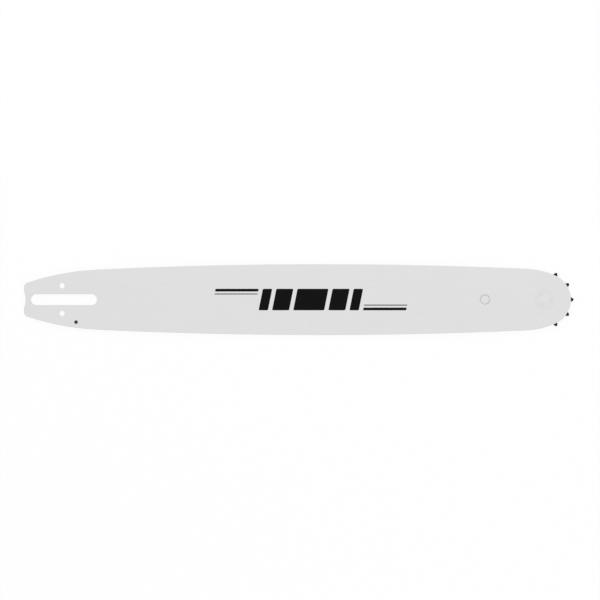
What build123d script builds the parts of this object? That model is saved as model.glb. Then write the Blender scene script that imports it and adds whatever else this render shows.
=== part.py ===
from build123d import *
from math import cos, floor, pi, radians, sin, sqrt
import os

os.makedirs("parts", exist_ok=True)

# Chainsaw guide bar with a sprocket nose, laminated from three steel plates.
# It lies flat, with +X along the bar to the nose and +Z through its thickness. The origin is the
# middle of the mounting slot, on the lower face. All sizes are in millimetres.

# Plates and rails
BAR_LENGTH = 600.0  # tail corners to the rails at the nose
PLATE_THICKNESS = 1.5  # each side plate
GROOVE_WIDTH = 1.6  # the centre plate's thickness, which is the chain gauge
GROOVE_DEPTH = 8.1  # rails to the groove's floor
RAIL_CHAMFER = 0.4
FRONT_BOW = 6.0  # fall of each rail from the widest point to the sprocket's centre
REAR_BOW = 5.9  # fall of each rail from the widest point to the slot's front end
SHOULDER_RISE = 3.9  # how far the rail's line passes outside the nose circle
SHOULDER_RADIUS = 88.0  # blend of the rail into the nose circle

# Mounting end
SLOT_LENGTH = 73.0
SLOT_WIDTH = 12.0
SLOT_SETBACK = 7.2  # tail corners to the slot's rear end
SLOT_CHAMFER = 0.3
TENSIONER_HOLE_DIAMETER = 6.0
TENSIONER_HOLE_SPACING = 30.4  # across the bar
TENSIONER_HOLE_X = -2.2
OIL_HOLE_DIAMETER = 4.0
OIL_HOLE_X = 13.4
OIL_HOLE_INSET = 6.15  # rail edge to the hole's centre, over the groove
TAIL_WIDTH = 34.8
TAIL_CORNER_RADIUS = 6.0
TAIL_RELIEF_WIDTH = 19.0  # shallow hollow in the tail's end
TAIL_RELIEF_DEPTH = 1.8
CORE_TAIL_SETBACK = 1.0  # the relief's floor to the centre plate's end

# Nose, from the bearing outwards
RACE_DIAMETER = 18.0
ROLLER_DIAMETER = 4.5
ROLLER_GAP = 0.1  # least room between neighbouring rollers
BEARING_CLEARANCE = 0.05  # rollers to the race and to the sprocket's bore
SIDE_CLEARANCE = 0.05  # turning pieces to each side plate
SPROCKET_WEB = 7.5  # bore to the gullets' bottoms
SPROCKET_TEETH = 11
GULLET_DEPTH = 7.9  # gullets' bottoms to the rails
GULLET_RADIUS = 3.2
GULLET_WALL_LEAN = 15.0  # degrees that the gullet has opened where its round bottom ends
TOOTH_PROTRUSION = 3.0  # rails to the tooth tips
TOOTH_POINT_CUT = 0.8  # removed from the point where a tooth's flanks would meet
POCKET_CLEARANCE = 1.0  # tooth tips to the centre plate

# Rivets
RIVET_CLEARANCE = 0.05  # every rivet in its holes
NOSE_RIVET_COUNT = 3
NOSE_RIVET_CIRCLE = 12.4  # diameter
NOSE_RIVET_START = 120.0  # degrees
NOSE_RIVET_DIAMETER = 3.5
LOCATING_RIVET_DIAMETER = 10.0
LOCATING_RIVET_SETBACK = 65.3  # behind the sprocket's centre
LOCATING_RING_CHAMFER = 1.0  # on the plate, so that a ring shows round the rivet

# Lightening windows in the centre plate
WINDOW_LENGTH = 52.0
WINDOW_WIDTH = 40.0
WINDOW_CORNER_CUT = 7.0
WINDOW_RIB = 13.0
WINDOW_MARGIN = 16.0  # least distance to the slot and to the locating rivet

# Levels through the thickness
bar_thickness = 2 * PLATE_THICKNESS + GROOVE_WIDTH
front_plate_level = PLATE_THICKNESS + GROOVE_WIDTH
turning_level = PLATE_THICKNESS + SIDE_CLEARANCE
turning_thickness = GROOVE_WIDTH - 2 * SIDE_CLEARANCE

# Nose radii and places along the bar
roller_circle_radius = RACE_DIAMETER / 2 + BEARING_CLEARANCE + ROLLER_DIAMETER / 2
bore_radius = roller_circle_radius + ROLLER_DIAMETER / 2 + BEARING_CLEARANCE
gullet_bottom_radius = bore_radius + SPROCKET_WEB
nose_radius = gullet_bottom_radius + GULLET_DEPTH
tip_radius = nose_radius + TOOTH_PROTRUSION
pocket_radius = tip_radius + POCKET_CLEARANCE
rail_start_x = SLOT_LENGTH / 2
tail_x = -rail_start_x - SLOT_SETBACK
nose_x = tail_x + BAR_LENGTH - nose_radius
locating_rivet_x = nose_x - LOCATING_RIVET_SETBACK


def circles_meet(centre_a, radius_a, centre_b, radius_b):
    """Where two circles meet, on the left of the way from the first centre to the second."""
    across = centre_b - centre_a
    gap = across.length
    along = (gap**2 + radius_a**2 - radius_b**2) / (2 * gap)
    aside = sqrt(radius_a**2 - along**2)
    ahead = across.normalized()
    return centre_a + ahead * along + Vector(-ahead.Y, ahead.X) * aside


# Upper rail as a chain of tangent arcs: flank, long belly, shoulder and nose
nose_centre = Vector(nose_x, 0)
half_width = nose_radius + SHOULDER_RISE + FRONT_BOW
rear_share = sqrt(REAR_BOW) / (sqrt(REAR_BOW) + sqrt(FRONT_BOW))
widest_x = rail_start_x + (nose_x - rail_start_x) * rear_share
belly_radius = ((nose_x - widest_x) ** 2 + FRONT_BOW**2) / (2 * FRONT_BOW)
belly_centre = Vector(widest_x, half_width - belly_radius)
shoulder_centre = circles_meet(
    belly_centre, belly_radius - SHOULDER_RADIUS, nose_centre, SHOULDER_RADIUS - nose_radius
)
rail_start = Vector(rail_start_x, belly_centre.Y + sqrt(belly_radius**2 - (rail_start_x - widest_x) ** 2))
tail_corner = Vector(tail_x, TAIL_WIDTH / 2)
flank_inward = (belly_centre - rail_start).normalized()
flank_chord = tail_corner - rail_start
flank_radius = flank_chord.length**2 / (2 * flank_inward.dot(flank_chord))
flank_centre = rail_start + flank_inward * flank_radius


def rail_joint(inner_centre, outer_centre, outer_radius):
    """Where two arcs of the rail run into each other."""
    return outer_centre + (inner_centre - outer_centre).normalized() * outer_radius


def flank_point(x, inset):
    """Point of the flank at this x, as far inside the rail as inset says."""
    return Vector(x, flank_centre.Y + sqrt((flank_radius - inset) ** 2 - (x - flank_centre.X) ** 2))


def rail_outline(end_x, inset):
    """The bar's outline, inside the rails by inset and square at its tail end."""
    tail_end = flank_point(end_x, inset)
    flank_end = rail_joint(flank_centre, belly_centre, belly_radius - inset)
    belly_end = rail_joint(shoulder_centre, belly_centre, belly_radius - inset)
    shoulder_end = rail_joint(nose_centre, shoulder_centre, SHOULDER_RADIUS - inset)
    with BuildSketch() as outline:
        with BuildLine():
            Line((end_x, 0), tail_end)
            RadiusArc(tail_end, flank_end, flank_radius - inset)
            RadiusArc(flank_end, belly_end, belly_radius - inset)
            RadiusArc(belly_end, shoulder_end, SHOULDER_RADIUS - inset)
            RadiusArc(shoulder_end, nose_centre + Vector(nose_radius - inset, 0), nose_radius - inset)
            mirror(about=Plane.XZ)
        make_face()
    return outline.sketch


plate_outline = rail_outline(tail_x, 0)
core_outline = rail_outline(tail_x + TAIL_RELIEF_DEPTH + CORE_TAIL_SETBACK, GROOVE_DEPTH)

# Holes for the nose rivets, through both side plates and the race between them
with BuildSketch() as nose_rivet_holes:
    with Locations(nose_centre):
        with PolarLocations(NOSE_RIVET_CIRCLE / 2, NOSE_RIVET_COUNT, NOSE_RIVET_START):
            Circle(NOSE_RIVET_DIAMETER / 2 + RIVET_CLEARANCE)

# Openings that go through all three plates: the slot and the two tensioner holes
with BuildSketch() as through_openings:
    SlotOverall(SLOT_LENGTH, SLOT_WIDTH)
    with Locations((TENSIONER_HOLE_X, 0)):
        with GridLocations(0, TENSIONER_HOLE_SPACING, 1, 2):
            Circle(TENSIONER_HOLE_DIAMETER / 2)

# Front side plate: a stamping with rounded tail corners, a hollowed tail end and an oil hole
relief_radius = ((TAIL_RELIEF_WIDTH / 2) ** 2 + TAIL_RELIEF_DEPTH**2) / (2 * TAIL_RELIEF_DEPTH)
oil_hole_y = flank_point(OIL_HOLE_X, 0).Y - OIL_HOLE_INSET
locating_hole_radius = LOCATING_RIVET_DIAMETER / 2 + RIVET_CLEARANCE

with BuildPart() as side_plate_front:
    with BuildSketch(Plane.XY.offset(front_plate_level)) as front_blank:
        add(plate_outline)
        fillet(front_blank.vertices().group_by(Axis.X)[0], TAIL_CORNER_RADIUS)
        with Locations((tail_x + TAIL_RELIEF_DEPTH - relief_radius, 0)):
            Circle(relief_radius, mode=Mode.SUBTRACT)
        add(through_openings.sketch, mode=Mode.SUBTRACT)
        add(nose_rivet_holes.sketch, mode=Mode.SUBTRACT)
        with Locations((OIL_HOLE_X, -oil_hole_y)):
            Circle(OIL_HOLE_DIAMETER / 2, mode=Mode.SUBTRACT)
    extrude(amount=PLATE_THICKNESS)
    outer_face = side_plate_front.faces().sort_by(Axis.Z)[-1]
    slot_rim = outer_face.inner_wires().sort_by(SortBy.LENGTH)[-1]
    chamfer(slot_rim.edges(), SLOT_CHAMFER)
    outer_face = side_plate_front.faces().sort_by(Axis.Z)[-1]
    chamfer(outer_face.outer_wire().edges(), RAIL_CHAMFER)
    with Locations((locating_rivet_x, 0, bar_thickness)):
        CounterSinkHole(
            locating_hole_radius, locating_hole_radius + LOCATING_RING_CHAMFER, counter_sink_angle=90
        )
side_plate_front.part.label = "side_plate_front"
export_step(side_plate_front.part, "parts/side_plate_front.step")

# Back side plate: the same stamping turned over, so that the bar can be fitted either way up
with BuildPart() as side_plate_back:
    with Locations((0, 0, bar_thickness)):
        add(side_plate_front.part, rotation=(180, 0, 0))
side_plate_back.part.label = "side_plate_back"
export_step(side_plate_back.part, "parts/side_plate_back.step")

# Centre plate: set in from the rails to leave the groove, hollowed round the sprocket and windowed
window_rear_x = rail_start_x + WINDOW_MARGIN
window_front_x = locating_rivet_x - LOCATING_RIVET_DIAMETER / 2 - WINDOW_MARGIN
window_count = floor((window_front_x - window_rear_x + WINDOW_RIB) / (WINDOW_LENGTH + WINDOW_RIB))

with BuildSketch() as window:
    Rectangle(WINDOW_LENGTH, WINDOW_WIDTH)
    chamfer(window.vertices(), WINDOW_CORNER_CUT)

with BuildPart() as centre_plate:
    with BuildSketch(Plane.XY.offset(PLATE_THICKNESS)) as core_blank:
        add(core_outline)
        with Locations(nose_centre):
            Circle(pocket_radius, mode=Mode.SUBTRACT)
        add(through_openings.sketch, mode=Mode.SUBTRACT)
        with Locations((locating_rivet_x, 0)):
            Circle(locating_hole_radius, mode=Mode.SUBTRACT)
        with Locations(((window_rear_x + window_front_x) / 2, 0)):
            with GridLocations(WINDOW_LENGTH + WINDOW_RIB, 0, window_count, 1):
                add(window.sketch, mode=Mode.SUBTRACT)
    extrude(amount=GROOVE_WIDTH)
centre_plate.part.label = "centre_plate"
export_step(centre_plate.part, "parts/centre_plate.step")

# Nose sprocket: a disc with a gullet for each drive link, and ogive teeth between the gullets
half_pitch = 180 / SPROCKET_TEETH
gullet_centre_x = gullet_bottom_radius + GULLET_RADIUS
point_radius = tip_radius + TOOTH_POINT_CUT
wall_lean = radians(GULLET_WALL_LEAN)
tooth_point = Vector(point_radius * cos(radians(half_pitch)), point_radius * sin(radians(half_pitch)))

with BuildSketch() as gullet:
    with BuildLine():
        bottom = CenterArc(
            (gullet_centre_x, 0), GULLET_RADIUS, 90 + GULLET_WALL_LEAN, 180 - 2 * GULLET_WALL_LEAN
        )
        flank = TangentArc(bottom @ 0, tooth_point, tangent=(cos(wall_lean), sin(wall_lean)))
        mirror(flank, about=Plane.XZ)
        CenterArc((0, 0), point_radius, -half_pitch, 2 * half_pitch)
    make_face()

with BuildPart() as nose_sprocket:
    with BuildSketch(Plane.XY.offset(turning_level)):
        with Locations(nose_centre):
            Circle(tip_radius)
            with PolarLocations(0, SPROCKET_TEETH, half_pitch):
                add(gullet.sketch, mode=Mode.SUBTRACT)
            Circle(bore_radius, mode=Mode.SUBTRACT)
    extrude(amount=turning_thickness)
nose_sprocket.part.label = "nose_sprocket"
export_step(nose_sprocket.part, "parts/nose_sprocket.step")

# Bearing race: a hardened disc, held between the side plates by the nose rivets
with BuildPart() as bearing_race:
    with BuildSketch(Plane.XY.offset(PLATE_THICKNESS)):
        with Locations(nose_centre):
            Circle(RACE_DIAMETER / 2)
        add(nose_rivet_holes.sketch, mode=Mode.SUBTRACT)
    extrude(amount=GROOVE_WIDTH)
bearing_race.part.label = "bearing_race"
export_step(bearing_race.part, "parts/bearing_race.step")

# Nose rivets: pins set flush in both side plates, which hold the race in place
with BuildPart() as nose_rivets:
    with BuildSketch():
        with Locations(nose_centre):
            with PolarLocations(NOSE_RIVET_CIRCLE / 2, NOSE_RIVET_COUNT, NOSE_RIVET_START):
                Circle(NOSE_RIVET_DIAMETER / 2)
    extrude(amount=bar_thickness)
nose_rivets.part.label = "nose_rivets"
export_step(nose_rivets.part, "parts/nose_rivets.step")

# Locating rivet: a flush pin through all three plates
with BuildPart() as locating_rivet:
    with BuildSketch():
        with Locations((locating_rivet_x, 0)):
            Circle(LOCATING_RIVET_DIAMETER / 2)
    extrude(amount=bar_thickness)
locating_rivet.part.label = "locating_rivet"
export_step(locating_rivet.part, "parts/locating_rivet.step")

# Rollers: a full ring of loose pins between the race and the sprocket's bore
roller_count = floor(2 * pi * roller_circle_radius / (ROLLER_DIAMETER + ROLLER_GAP))

for index in range(roller_count):
    turn = 2 * pi * index / roller_count
    with BuildPart() as roller:
        with BuildSketch(Plane.XY.offset(turning_level)):
            with Locations(nose_centre + Vector(cos(turn), sin(turn)) * roller_circle_radius):
                Circle(ROLLER_DIAMETER / 2)
        extrude(amount=turning_thickness)
    roller_name = f"roller_{index + 1:02d}"
    roller.part.label = roller_name
    export_step(roller.part, f"parts/{roller_name}.step")
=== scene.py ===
from math import radians

import bmesh
import bpy
from mathutils import Matrix, Vector


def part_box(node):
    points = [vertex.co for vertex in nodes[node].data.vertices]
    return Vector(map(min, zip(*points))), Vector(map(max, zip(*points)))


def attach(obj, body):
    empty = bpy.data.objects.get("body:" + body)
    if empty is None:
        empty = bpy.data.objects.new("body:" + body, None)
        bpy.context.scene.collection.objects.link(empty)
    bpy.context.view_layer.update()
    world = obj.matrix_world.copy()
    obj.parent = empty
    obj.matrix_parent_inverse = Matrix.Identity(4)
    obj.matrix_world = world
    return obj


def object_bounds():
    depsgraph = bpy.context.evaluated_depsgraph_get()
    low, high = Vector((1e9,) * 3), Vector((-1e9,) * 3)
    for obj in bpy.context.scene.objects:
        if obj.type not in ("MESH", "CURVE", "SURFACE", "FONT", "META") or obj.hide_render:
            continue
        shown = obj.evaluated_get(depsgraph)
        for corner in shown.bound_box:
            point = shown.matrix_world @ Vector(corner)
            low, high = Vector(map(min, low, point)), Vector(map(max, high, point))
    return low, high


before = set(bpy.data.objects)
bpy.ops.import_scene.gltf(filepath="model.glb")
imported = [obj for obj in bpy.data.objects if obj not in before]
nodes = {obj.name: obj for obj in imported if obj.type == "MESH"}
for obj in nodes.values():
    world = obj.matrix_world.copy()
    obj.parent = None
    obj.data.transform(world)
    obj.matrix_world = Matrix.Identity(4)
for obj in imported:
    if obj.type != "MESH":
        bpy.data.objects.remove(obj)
cad_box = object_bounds()


# Side plates: two equal stampings of hardened steel, welded to the plate between them and sprayed
# with a thin pale grey satin lacquer. The rails are ground after spraying, so their edges are bare,
# and the faces that look into the groove were never sprayed.
class Flow:
    """A value on its way through a finish. Sums on it become Math nodes."""

    def __init__(self, tree, socket=None):
        self.tree = tree
        self.socket = socket

    def node(self, kind, settings=None, inputs=None, output=0):
        """Adds a node: first its settings, then the values or links of its sockets."""
        made = self.tree.nodes.new("ShaderNode" + kind)
        for name, value in (settings or {}).items():
            setattr(made, name, value)
        for name, value in (inputs or {}).items():
            if isinstance(value, Flow):
                self.tree.links.new(value.socket, made.inputs[name])
            else:
                made.inputs[name].default_value = value
        return Flow(self.tree, made.outputs[output])

    def also(self, output):
        """Another output of the same node."""
        return Flow(self.tree, self.socket.node.outputs[output])

    def math(self, operation, *values):
        return self.node("Math", {"operation": operation}, dict(enumerate(values)))

    def __add__(self, other):
        return self.math("ADD", self, other)

    def __radd__(self, other):
        return self.math("ADD", other, self)

    def __sub__(self, other):
        return self.math("SUBTRACT", self, other)

    def __rsub__(self, other):
        return self.math("SUBTRACT", other, self)

    def __mul__(self, other):
        return self.math("MULTIPLY", self, other)

    def __rmul__(self, other):
        return self.math("MULTIPLY", other, self)

    def __abs__(self):
        return self.math("ABSOLUTE", self)

    def at_most(self, limit):
        return self.math("MINIMUM", self, limit)

    def either(self, other):
        """The stronger of two masks."""
        return self.math("MAXIMUM", self, other)

    def part(self, axis):
        """One coordinate of a place or a direction."""
        return self.node("SeparateXYZ", None, {0: self}, output=axis)

    def rise(self, low, high):
        """0 below low, 1 above high, smooth between."""
        steps = {"interpolation_type": "SMOOTHSTEP"}
        return self.node("MapRange", steps, {"Value": self, "From Min": low, "From Max": high})

    def fall(self, low, high):
        """1 below low, 0 above high, smooth between."""
        return 1 - self.rise(low, high)

    def tint(self, under, over):
        """The colour under where this mask is 0, and over where it is 1."""
        return self.node("Mix", {"data_type": "RGBA"}, {0: self, 6: under, 7: over}, output=2)

    def stretch(self, x, y, z):
        """This place with its axes scaled."""
        return self.node("VectorMath", {"operation": "MULTIPLY"}, {0: self, 1: (x, y, z)})

    def away_from(self, point):
        """How far this place is from a point, seen in plan."""
        ends = {0: self.stretch(1, 1, 0), 1: (point.x, point.y, 0)}
        return self.node("VectorMath", {"operation": "DISTANCE"}, ends, output="Value")

    def grain(self, cells, detail=2, falloff=0.55):
        """Noise about 0, from roughly -0.5 to 0.5, with this many cells to the metre."""
        wanted = {"Vector": self, "Scale": cells, "Detail": detail, "Roughness": falloff}
        return self.node("TexNoise", None, wanted) - 0.5

    def streaks(self, cells, detail=2):
        """The same noise, with its own number of cells along each axis."""
        return self.stretch(*cells).grain(1, detail)

    def reaches(self, shader, socket):
        self.tree.links.new(self.socket, shader.inputs[socket])

    def embosses(self, shader, depth, strength):
        """Raises the surface by this height, where a height of 1 is depth in metres."""
        relief = {"Height": self, "Distance": depth, "Strength": strength}
        self.node("Bump", None, relief).reaches(shader, "Normal")


def new_finish(name):
    """A new material, its shader, and the place of each point of the surface."""
    material = bpy.data.materials.new(name)
    material.use_nodes = True
    shader = material.node_tree.nodes["Principled BSDF"]
    place = Flow(material.node_tree).node("TexCoord", output="Object")
    return material, shader, place


def dress(node_name, material):
    """Gives a CAD node its finish."""
    node = nodes[node_name]
    node.data.materials.clear()
    node.data.materials.append(material)


def middle_of(node_name):
    """The middle of a CAD node's box."""
    low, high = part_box(node_name)
    return (low + high) / 2


# Colours and gloss
LACQUER_DARK = (0.724, 0.723, 0.724, 1)
LACQUER_LIGHT = (0.784, 0.783, 0.784, 1)
# The next two are painted shade on the pin's rim and a painted highlight on its countersunk slope
RIM_SHADE_LACQUER = (0.640, 0.639, 0.640, 1)
SLOPE_HIGHLIGHT_LACQUER = (0.810, 0.810, 0.810, 1)
GROUND_DARK = (0.400, 0.400, 0.395, 1)
GROUND_LIGHT = (0.560, 0.560, 0.550, 1)
# The next two are dark mill scale, deepened as painted shade for the groove
SCALE_AND_SHADE_DARK = (0.070, 0.068, 0.065, 1)
SCALE_AND_SHADE_LIGHT = (0.115, 0.112, 0.108, 1)
LACQUER_ROUGHNESS = 0.48
LACQUER_SPECULAR = 0.25

# Sizes in metres, and turns in degrees
MOUNTING_END_X = 0.0450
MOUNTING_END_Y = 0.0188
RING_REACH = 0.0035
RIM_WIDTH = 0.0008
MASK_FADE = 0.0004
SPRAY_FADE = 0.00005
NOSE_RIVET_CIRCLE = 0.0062
NOSE_RIVET_TURNS = (0, 120, 240)
SUNK_FLAT = 0.0006
SUNK_RIM = 0.0023
PRESSED_WIDTH = 0.0055

# Tilts of a surface, as the upright share of its normal
WALL_TILT = 0.45
FACE_TILT = 0.60
SLOPE_TILT = 0.75
FLAT_TILT = 0.95

# Grains in cells to the metre, along, across and through the bar where these differ
RAGGED_EDGE = 700
DRIFT = (11, 24.2, 11)
MOTTLE = 1500
SPECKS = 4200
PEEL = 420
ROLLED_LINES = (22, 3400, 22)
GROUND_LINES = (30, 30, 5200)
MILL_SCALE = (160, 480, 160)

groove_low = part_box("side_plate_back")[1].z
groove_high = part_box("side_plate_front")[0].z
groove_middle = (groove_low + groove_high) / 2
inner_face = (groove_high - groove_low) / 2
pin_low, pin_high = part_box("locating_rivet")
pin_radius = (pin_high.x - pin_low.x) / 2
race_low, race_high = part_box("bearing_race")
race_radius = (race_high.x - race_low.x) / 2

lacquer, shader, place = new_finish("satin_lacquer_on_steel")

# Bare steel on the walls of the ground rails, but not in the sprayed slot, holes and rivet ring
upright = abs(place.also("Normal").part("Z"))
behind = place.part("X").fall(MOUNTING_END_X, MOUNTING_END_X + MASK_FADE)
between = abs(place.part("Y")).fall(MOUNTING_END_Y, MOUNTING_END_Y + MASK_FADE)
from_pin = place.away_from(middle_of("locating_rivet"))
ring = from_pin.fall(pin_radius + RING_REACH, pin_radius + RING_REACH + MASK_FADE)
ragged = place.grain(RAGGED_EDGE) * 0.1
bare = (upright + ragged).fall(WALL_TILT, FACE_TILT) * (1 - behind * between) * (1 - ring)

# The plates' inner faces, which the spray never reached
depth = abs(place.part("Z") - groove_middle)
unsprayed = depth.fall(inner_face + SPRAY_FADE, inner_face + 2 * SPRAY_FADE)

# The lacquer sinks a little over each nose rivet, and where they press the plate on the race's rim
sunk = 0
for turn in NOSE_RIVET_TURNS:
    spot = Matrix.Rotation(radians(turn), 3, "Z") @ Vector((NOSE_RIVET_CIRCLE, 0, 0))
    sunk = sunk + place.away_from(middle_of("bearing_race") + spot).fall(SUNK_FLAT, SUNK_RIM)
from_race = place.away_from(middle_of("bearing_race"))
pressed = abs(from_race - race_radius).fall(0, PRESSED_WIDTH)

# It drifts slowly in tone, has a fine mottle and specks, and shows the rolled sheet's lines. Each
# weight is how far that mark takes the tone from dark, at 0, to light, at 1.
drift = place.streaks(DRIFT, detail=3)
mottle = place.grain(MOTTLE, detail=3)
specks = place.grain(SPECKS)
rolling = place.streaks(ROLLED_LINES, detail=3)
# Painted shade: the tone is darker over the sunk rivets and the pressed ring round the race
painted_dimple_shade = sunk * 0.3 + pressed * 0.36
tone = 0.5 + drift * 0.35 + mottle * 0.7 + specks * 1.5 + rolling * 1.4 - painted_dimple_shade
sprayed = tone.tint(LACQUER_DARK, LACQUER_LIGHT)

# Painted highlight on the countersunk slope round the locating pin, and painted shade on the pin's
# rim
slope_highlight = upright.fall(SLOPE_TILT, FLAT_TILT) * ring
rim = abs(from_pin - (pin_radius - RIM_WIDTH / 2)).fall(0, RIM_WIDTH)
sprayed = rim.tint(slope_highlight.tint(sprayed, SLOPE_HIGHLIGHT_LACQUER), RIM_SHADE_LACQUER)

# Grinding leaves lines along the rails, and the mill leaves a scale that holds oil
lines = place.streaks(GROUND_LINES, detail=3)
ground = (0.5 + lines * 0.9).tint(GROUND_DARK, GROUND_LIGHT)
# Painted shade: the scale on the inner faces is darker than bare scale, for the groove's shade
mill_scale = place.streaks(MILL_SCALE, detail=4)
scale_and_shade = (0.5 + mill_scale * 1.2).tint(SCALE_AND_SHADE_DARK, SCALE_AND_SHADE_LIGHT)
unsprayed.tint(bare.tint(sprayed, ground), scale_and_shade).reaches(shader, "Base Color")

metal = bare + unsprayed
metal.at_most(1).reaches(shader, "Metallic")
satin = LACQUER_ROUGHNESS + drift * 0.05 + mottle * 0.16 + specks * 0.2 + rolling * 0.16
(satin - bare * 0.16 + lines * bare * 0.2 + unsprayed * 0.08).reaches(shader, "Roughness")
shader.inputs["Specular IOR Level"].default_value = LACQUER_SPECULAR
coat = place.grain(PEEL, detail=1) * 0.5 + specks * 0.05 + rolling * 0.04
dents = sunk * 0.06 + pressed * 0.03
relief = coat * (1 - metal) - dents + lines * bare * 0.05 + mill_scale * unsprayed * 0.06
relief.embosses(shader, depth=0.0004, strength=0.6)
dress("side_plate_front", lacquer)
dress("side_plate_back", lacquer)

# Centre plate: rolled steel strip the thickness of the chain's drive links, blanked out with
# lightening windows and left as it came from the mill. Only its edge shows, as the groove's floor.
CORE_DARK = (0.100, 0.098, 0.094, 1)
CORE_LIGHT = (0.260, 0.257, 0.250, 1)
CORE_ROUGHNESS = 0.5
SHEARED_EDGE = (900, 900, 150)

core, shader, place = new_finish("mill_finish_steel")
mill_scale = place.streaks(MILL_SCALE, detail=4)
shear = place.streaks(SHEARED_EDGE)
(0.5 + mill_scale * 1.1 + shear * 0.5).tint(CORE_DARK, CORE_LIGHT).reaches(shader, "Base Color")
(CORE_ROUGHNESS + mill_scale * 0.3).reaches(shader, "Roughness")
shader.inputs["Metallic"].default_value = 1
(mill_scale + shear).embosses(shader, depth=0.00004, strength=0.25)
dress("centre_plate", core)

# Bearing race and rollers: hardened bearing steel, ground bright and greased. The rollers run loose
# between the race, which the rivets hold, and the sprocket's bore.
BRIGHT_STEEL = (0.620, 0.620, 0.630, 1)
GREASED_STEEL = (0.400, 0.370, 0.310, 1)
BRIGHT_ROUGHNESS = 0.2
POLISH = (900, 900, 5400)
GREASE = 260
GREASE_EDGE = 0.02
GREASE_FULL = 0.2

bearing, shader, place = new_finish("ground_bearing_steel")
polish = place.streaks(POLISH, detail=3)
grease = place.grain(GREASE).rise(GREASE_EDGE, GREASE_FULL)
grease.tint(BRIGHT_STEEL, GREASED_STEEL).reaches(shader, "Base Color")
(BRIGHT_ROUGHNESS + polish * 0.12 + grease * 0.12).reaches(shader, "Roughness")
shader.inputs["Metallic"].default_value = 1
polish.embosses(shader, depth=0.00003, strength=0.15)
dress("bearing_race", bearing)
for name in nodes:
    if name.startswith("roller_"):
        dress(name, bearing)

# Nose sprocket: a star stamped from tool steel and blackened in a hot oxide bath. The oxide is
# slightly uneven, and the stamped flanks are rougher than the faces.
OXIDE_DARK = (0.0030, 0.0030, 0.0033, 1)
OXIDE_LIGHT = (0.0090, 0.0087, 0.0090, 1)
OXIDE_ROUGHNESS = 0.46
OXIDE_SPECULAR = 0.06
OXIDE_BLOOM = 180
TORN_EDGE = (1200, 1200, 180)
FLANK_TILT = 0.4
STAR_TILT = 0.8

blackened, shader, place = new_finish("black_oxide_steel")
flank = abs(place.also("Normal").part("Z")).fall(FLANK_TILT, STAR_TILT)
bloom = place.grain(OXIDE_BLOOM, detail=4)
tear = place.streaks(TORN_EDGE)
(0.5 + bloom * 1.1).tint(OXIDE_DARK, OXIDE_LIGHT).reaches(shader, "Base Color")
(OXIDE_ROUGHNESS + bloom * 0.25 + flank * 0.12).reaches(shader, "Roughness")
shader.inputs["Specular IOR Level"].default_value = OXIDE_SPECULAR
(bloom * 0.4 + tear * flank).embosses(shader, depth=0.00008, strength=0.3)
dress("nose_sprocket", blackened)

# Rivets: soft steel pins, set flush in the side plates and sprayed over with them. Three hold the
# race, and the large locating pin sits in a countersunk ring that stays visible under the lacquer.
dress("nose_rivets", lacquer)
dress("locating_rivet", lacquer)

# Printed trim: a film of black enamel screened on both faces, the same way up when the bar is
# turned over. Leaning bars, widest in the middle, run out into two long lines on each side.
ENAMEL_DARK = (0.002, 0.002, 0.002, 1)
ENAMEL_LIGHT = (0.005, 0.005, 0.005, 1)
ENAMEL_ROUGHNESS = 0.42
ENAMEL_SPECULAR = 0.05
ENAMEL_FILM = 0.00002
SCREEN_WEAVE = 2600
PINHOLES = 500
TRIM_MIDDLE = 0.2710
TRIM_LENGTH = 0.2140
TRIM_HEIGHT = 0.0236
TRIM_LEAN = 0.2
WIDEST_BAR = 0.0340
SIDE_BARS = 2
NARROWING = 0.55
BAR_GAP = 0.0045
LONG_LINES = ((-0.0118, -0.0088), (-0.0066, -0.0056))
CORNER_ROUND = 0.0012
CORNER_STEPS = 4

front_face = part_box("side_plate_front")[1].z


def enamel_patch(film, left, width, low=-TRIM_HEIGHT / 2, high=TRIM_HEIGHT / 2):
    """A leaning flat patch of film, placed from the trim's middle, with its corners rounded."""
    sides = Matrix.Diagonal((width, high - low, 1, 1))
    leaning = Matrix.Identity(4)
    leaning[0][1] = TRIM_LEAN
    level = (low + high) / 2
    along = TRIM_MIDDLE + left + width / 2 + TRIM_LEAN * level
    shape = Matrix.Translation((along, level, front_face)) @ leaning @ sides
    patch = bmesh.ops.create_grid(film, x_segments=1, y_segments=1, size=0.5, matrix=shape)
    bmesh.ops.bevel(
        film,
        geom=patch["verts"],
        offset=min(CORNER_ROUND, (high - low) / 3),
        affect="VERTICES",
        segments=CORNER_STEPS,
        profile=0.5,
        material=-1,
    )


def half_turn_copy(film, centre, axis):
    """Copies the whole film, turned half round on an axis through centre."""
    copied = bmesh.ops.duplicate(film, geom=film.verts[:] + film.edges[:] + film.faces[:])
    corners = [item for item in copied["geom"] if isinstance(item, bmesh.types.BMVert)]
    bmesh.ops.rotate(film, verts=corners, cent=centre, matrix=Matrix.Rotation(radians(180), 3, axis))


# The bars and lines on one side, the same on the other, the middle bar, and then the other face
film = bmesh.new()
left = WIDEST_BAR / 2 + BAR_GAP
for step in range(1, SIDE_BARS + 1):
    width = WIDEST_BAR * NARROWING**step
    enamel_patch(film, left, width)
    left = left + width + BAR_GAP
for low, high in LONG_LINES:
    enamel_patch(film, left, TRIM_LENGTH / 2 - left, low, high)
half_turn_copy(film, (TRIM_MIDDLE, 0, front_face), "Z")
enamel_patch(film, -WIDEST_BAR / 2, WIDEST_BAR)
bmesh.ops.solidify(film, geom=film.faces[:], thickness=-ENAMEL_FILM)
half_turn_copy(film, (0, 0, groove_middle), "X")
bmesh.ops.recalc_face_normals(film, faces=film.faces[:])
trim_mesh = bpy.data.meshes.new("printed_trim")
film.to_mesh(trim_mesh)
film.free()
trim = bpy.data.objects.new("printed_trim", trim_mesh)
bpy.context.scene.collection.objects.link(trim)

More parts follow.
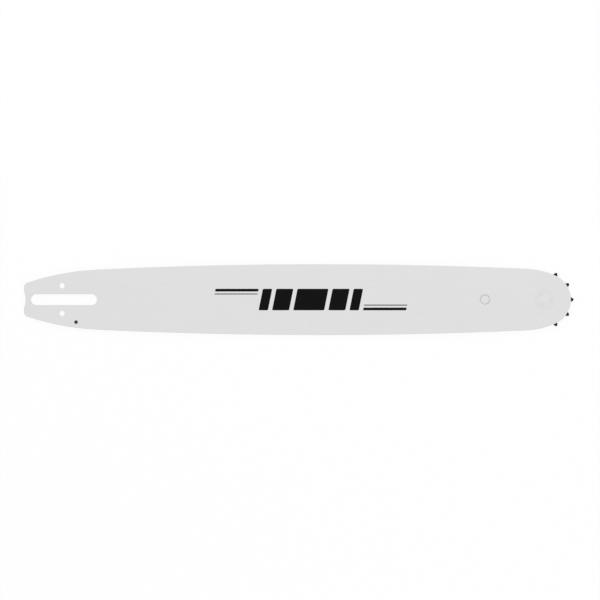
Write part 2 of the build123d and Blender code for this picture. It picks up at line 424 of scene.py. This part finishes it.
enamel, shader, place = new_finish("black_enamel_print")
screen = place.grain(SCREEN_WEAVE)
pinholes = place.grain(PINHOLES, detail=1)
rolling = place.streaks(ROLLED_LINES, detail=3)
(0.5 + screen * 0.8).tint(ENAMEL_DARK, ENAMEL_LIGHT).reaches(shader, "Base Color")
(ENAMEL_ROUGHNESS + screen * 0.16 + pinholes * 0.06 + rolling * 0.16).reaches(shader, "Roughness")
shader.inputs["Specular IOR Level"].default_value = ENAMEL_SPECULAR
(screen * 0.1 + rolling * 0.3).embosses(shader, depth=0.00006, strength=0.5)
trim_mesh.materials.append(enamel)
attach(trim, "bar")

# Studio: a white table and a white room, lit softly from all round, with the camera straight above
# the bar as in a catalogue picture.
TABLE_HALF = 6
PAPER_WHITE = (0.97, 0.97, 0.97, 1)
PAPER_GLOW = 0.93
PURE_WHITE = (1, 1, 1, 1)
ROOM_LIGHT = 0.55
SOFTBOX_WIDTH = 1.6
KEY_POWER = 23
KEY_PLACE = (-0.1, 1.5, 1.7)
FILL_POWER = 12.5
FILL_PLACE = (1.3, -1.3, 1.5)
PICTURE_WIDTH = 0.6582
PICTURE_MIDDLE = (0.2591, -0.0005)
LENS = 300
SENSOR = 36
FARTHEST_SEEN = 20

table = bmesh.new()
table_level = Matrix.Translation((0, 0, cad_box[0].z - ENAMEL_FILM))
bmesh.ops.create_grid(table, x_segments=1, y_segments=1, size=TABLE_HALF, matrix=table_level)
table_mesh = bpy.data.meshes.new("white_table")
table.to_mesh(table_mesh)
table.free()
white_table = bpy.data.objects.new("white_table", table_mesh)
bpy.context.scene.collection.objects.link(white_table)


def seen_directly(tree):
    """1 for a ray from the camera, or one that a shiny or clear surface sends on."""
    camera_ray = Flow(tree).node("LightPath", output="Is Camera Ray")
    glossy_ray = camera_ray.also("Is Glossy Ray")
    clear_ray = camera_ray.also("Is Transmission Ray")
    return camera_ray.either(glossy_ray).either(clear_ray)


paper = bpy.data.materials.new("white_paper")
paper.use_nodes = True
seen = seen_directly(paper.node_tree)
matt = seen.node("BsdfDiffuse", None, {"Color": PAPER_WHITE})
glow = seen.node("Emission", None, {"Color": PURE_WHITE, "Strength": 1})
lit = seen.node("MixShader", None, {0: seen * PAPER_GLOW, 1: matt, 2: glow})
lit.reaches(paper.node_tree.nodes["Material Output"], "Surface")
table_mesh.materials.append(paper)

room = bpy.data.worlds.new("white_room")
room.use_nodes = True
walls = room.node_tree.nodes["Background"]
walls.inputs["Color"].default_value = PURE_WHITE
(ROOM_LIGHT + seen_directly(room.node_tree) * (1 - ROOM_LIGHT)).reaches(walls, "Strength")
bpy.context.scene.world = room


def softbox(name, power, stands_at):
    """A square lamp behind a diffuser, aimed at the bar's middle."""
    lamp = bpy.data.lights.new(name, "AREA")
    lamp.energy = power
    lamp.size = SOFTBOX_WIDTH
    stand = bpy.data.objects.new(name, lamp)
    stand.location = stands_at
    aim = (cad_box[0] + cad_box[1]) / 2 - stand.location
    stand.rotation_euler = aim.to_track_quat("-Z", "Y").to_euler()
    bpy.context.scene.collection.objects.link(stand)


softbox("key_softbox", KEY_POWER, KEY_PLACE)
softbox("fill_softbox", FILL_POWER, FILL_PLACE)

eye = bpy.data.cameras.new("picture_camera")
eye.lens = LENS
eye.sensor_width = SENSOR
eye.clip_end = FARTHEST_SEEN
camera = bpy.data.objects.new("picture_camera", eye)
camera.location = (*PICTURE_MIDDLE, front_face + PICTURE_WIDTH * LENS / SENSOR)
bpy.context.scene.collection.objects.link(camera)
bpy.context.scene.camera = camera
bpy.context.scene.view_settings.view_transform = "Standard"
